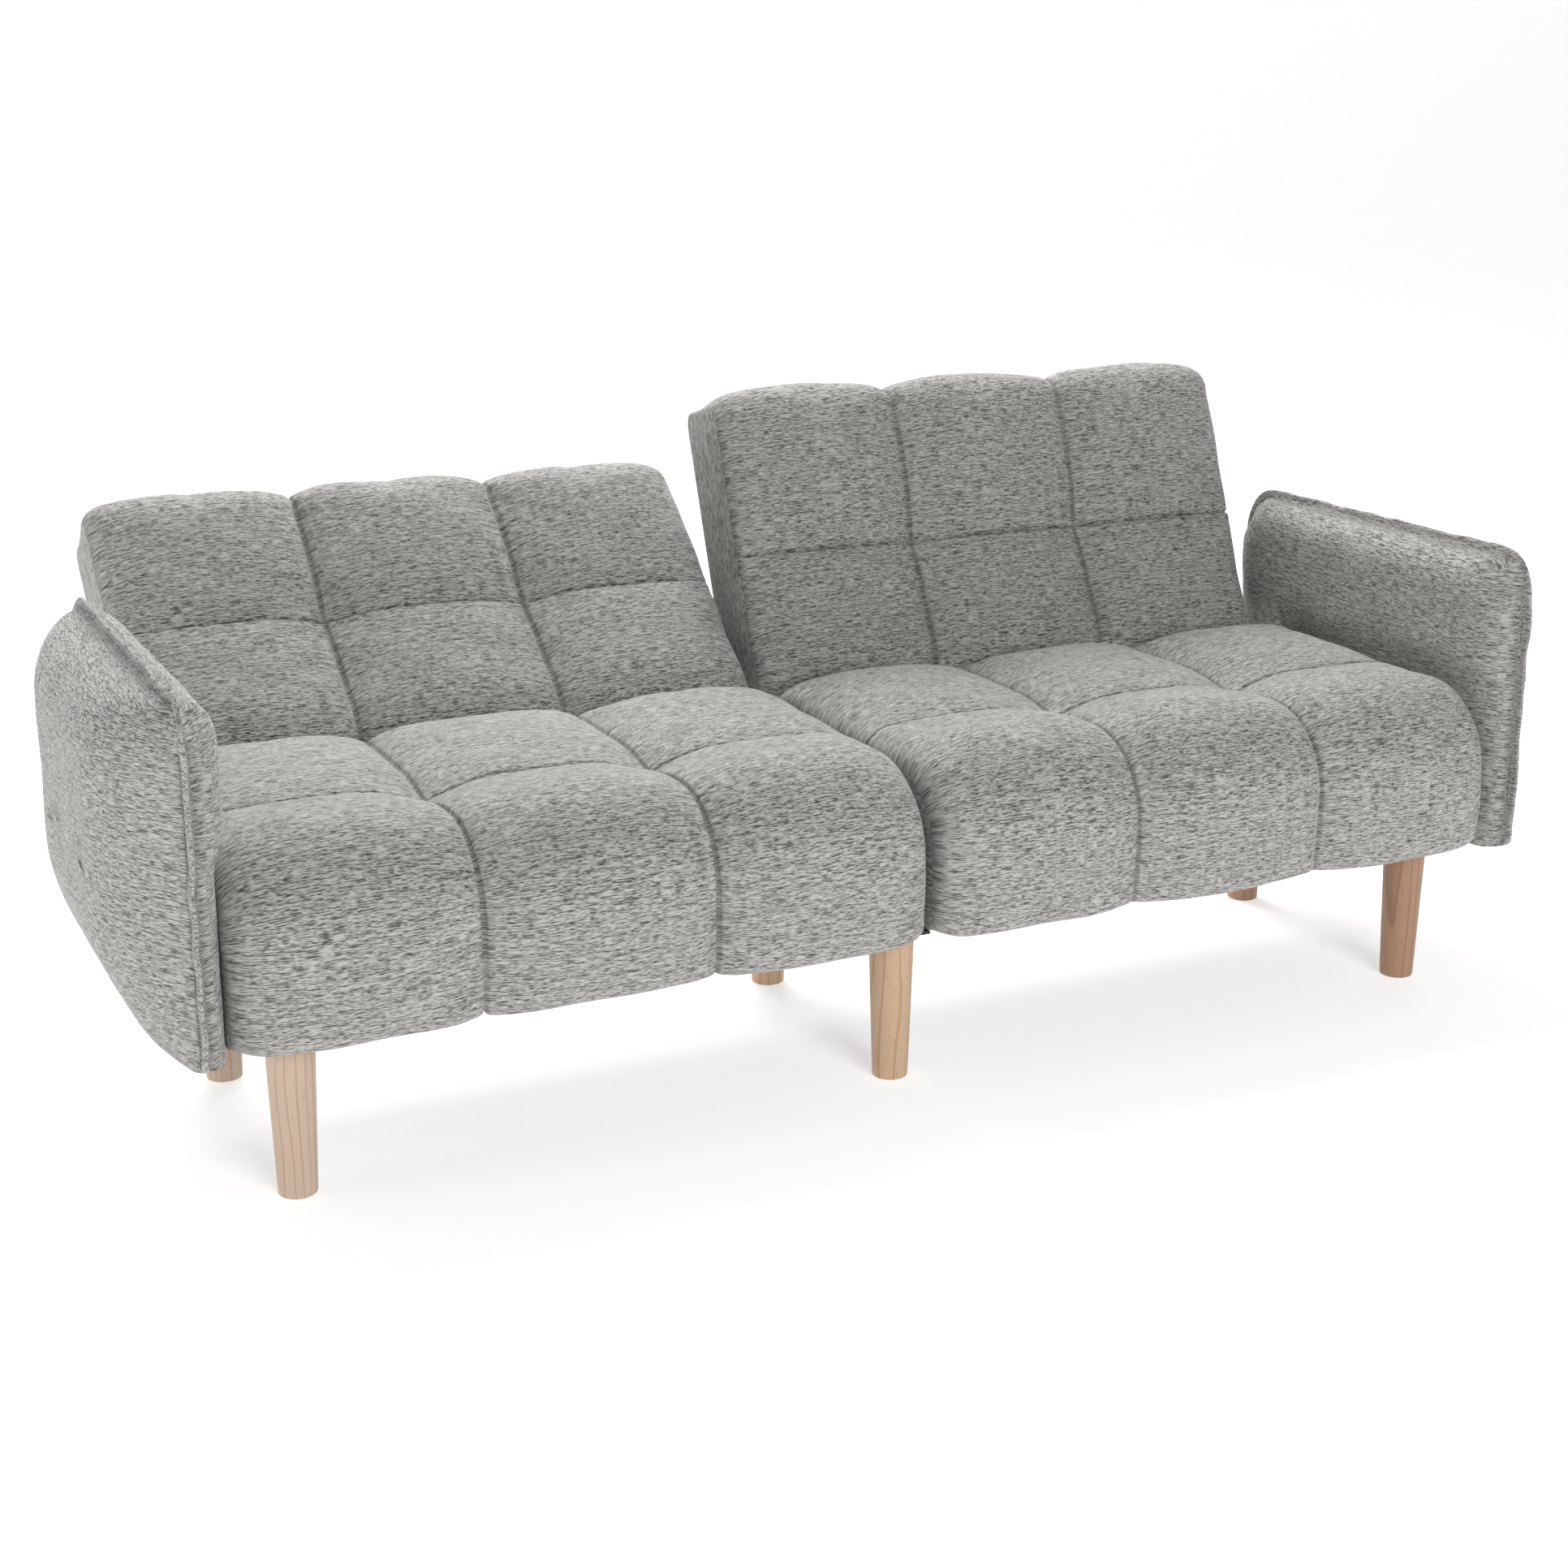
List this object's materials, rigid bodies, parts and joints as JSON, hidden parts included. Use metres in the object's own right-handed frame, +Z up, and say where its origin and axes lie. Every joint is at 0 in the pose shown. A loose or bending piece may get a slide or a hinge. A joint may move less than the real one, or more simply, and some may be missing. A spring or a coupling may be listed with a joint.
{
  "type": "futon sofa bed",
  "caption": "Split-back futon sofa bed in grey woven fabric: tufted seat modules, folding backs on ratchet hinges, pillow arms and round tapered wooden legs.",
  "frame": {"origin": "on the floor under the centre of the whole sofa's box, with the left back in its lounging position", "axes": "+X along the sofa's width, to the right of someone facing it; +Y from the seat's front edge to the backs; +Z up"},
  "size_m": [1.94, 0.906, 0.7748],
  "materials": {
    "upholstery_fabric": "heathered grey linen-look weave, matte",
    "backing_cloth": "black spun-bonded cloth, matte",
    "frame_timber": "planed softwood, unfinished",
    "leg_wood": "rubberwood, matt clear lacquer",
    "black_steel": "black powder coat, satin",
    "zinc_steel": "bright zinc plate"
  },
  "bodies": {
    "seat_base": {"arm_board_left": "frame_timber", "arm_board_right": "frame_timber", "arm_bolt_left": "zinc_steel", "arm_bolt_right": "zinc_steel", "arm_cushion_left": "upholstery_fabric", "arm_cushion_right": "upholstery_fabric", "hinge_pin_left_inner": "zinc_steel", "hinge_pin_left_outer": "zinc_steel", "hinge_pin_right_inner": "zinc_steel", "hinge_pin_right_outer": "zinc_steel", "hinge_seat_plate_left_inner": "black_steel", "hinge_seat_plate_left_outer": "black_steel", "hinge_seat_plate_right_inner": "black_steel", "hinge_seat_plate_right_outer": "black_steel", "joining_plate_front": "black_steel", "joining_plate_rear": "black_steel", "leg_front_centre": "leg_wood", "leg_front_left": "leg_wood", "leg_front_right": "leg_wood", "leg_plate_front_centre": "black_steel", "leg_plate_front_left": "black_steel", "leg_plate_front_right": "black_steel", "leg_plate_rear_centre": "black_steel", "leg_plate_rear_left": "black_steel", "leg_plate_rear_right": "black_steel", "leg_rear_centre": "leg_wood", "leg_rear_left": "leg_wood", "leg_rear_right": "leg_wood", "seat_cushion_left": "upholstery_fabric", "seat_cushion_right": "upholstery_fabric", "seat_dust_cover_left": "backing_cloth", "seat_dust_cover_right": "backing_cloth", "seat_front_rail_left": "frame_timber", "seat_front_rail_right": "frame_timber", "seat_inner_rail_left": "frame_timber", "seat_inner_rail_right": "frame_timber", "seat_outer_rail_left": "frame_timber", "seat_outer_rail_right": "frame_timber", "seat_rear_rail_left": "frame_timber", "seat_rear_rail_right": "frame_timber", "seat_spring_left_1": "zinc_steel", "seat_spring_left_2": "zinc_steel", "seat_spring_right_1": "zinc_steel", "seat_spring_right_2": "zinc_steel"},
    "left_back": {"back_bottom_rail_left": "frame_timber", "back_cushion_left": "upholstery_fabric", "back_inner_rail_left": "frame_timber", "back_outer_rail_left": "frame_timber", "back_rear_panel_left": "upholstery_fabric", "back_top_rail_left": "frame_timber", "hinge_back_plate_left_inner": "black_steel", "hinge_back_plate_left_outer": "black_steel"},
    "right_back": {"back_bottom_rail_right": "frame_timber", "back_cushion_right": "upholstery_fabric", "back_inner_rail_right": "frame_timber", "back_outer_rail_right": "frame_timber", "back_rear_panel_right": "upholstery_fabric", "back_top_rail_right": "frame_timber", "hinge_back_plate_right_inner": "black_steel", "hinge_back_plate_right_outer": "black_steel"}
  },
  "joints": [
    {"name": "left_back_recline", "type": "hinge", "parent": "seat_base", "child": "left_back", "pos_m": [0, 0.09104, 0.408], "axis": [-1, 0, 0], "range_deg": [-37, 43]},
    {"name": "right_back_recline", "type": "hinge", "parent": "seat_base", "child": "right_back", "pos_m": [0, 0.09104, 0.408], "axis": [-1, 0, 0], "range_deg": [-10, 70]}
  ]
}
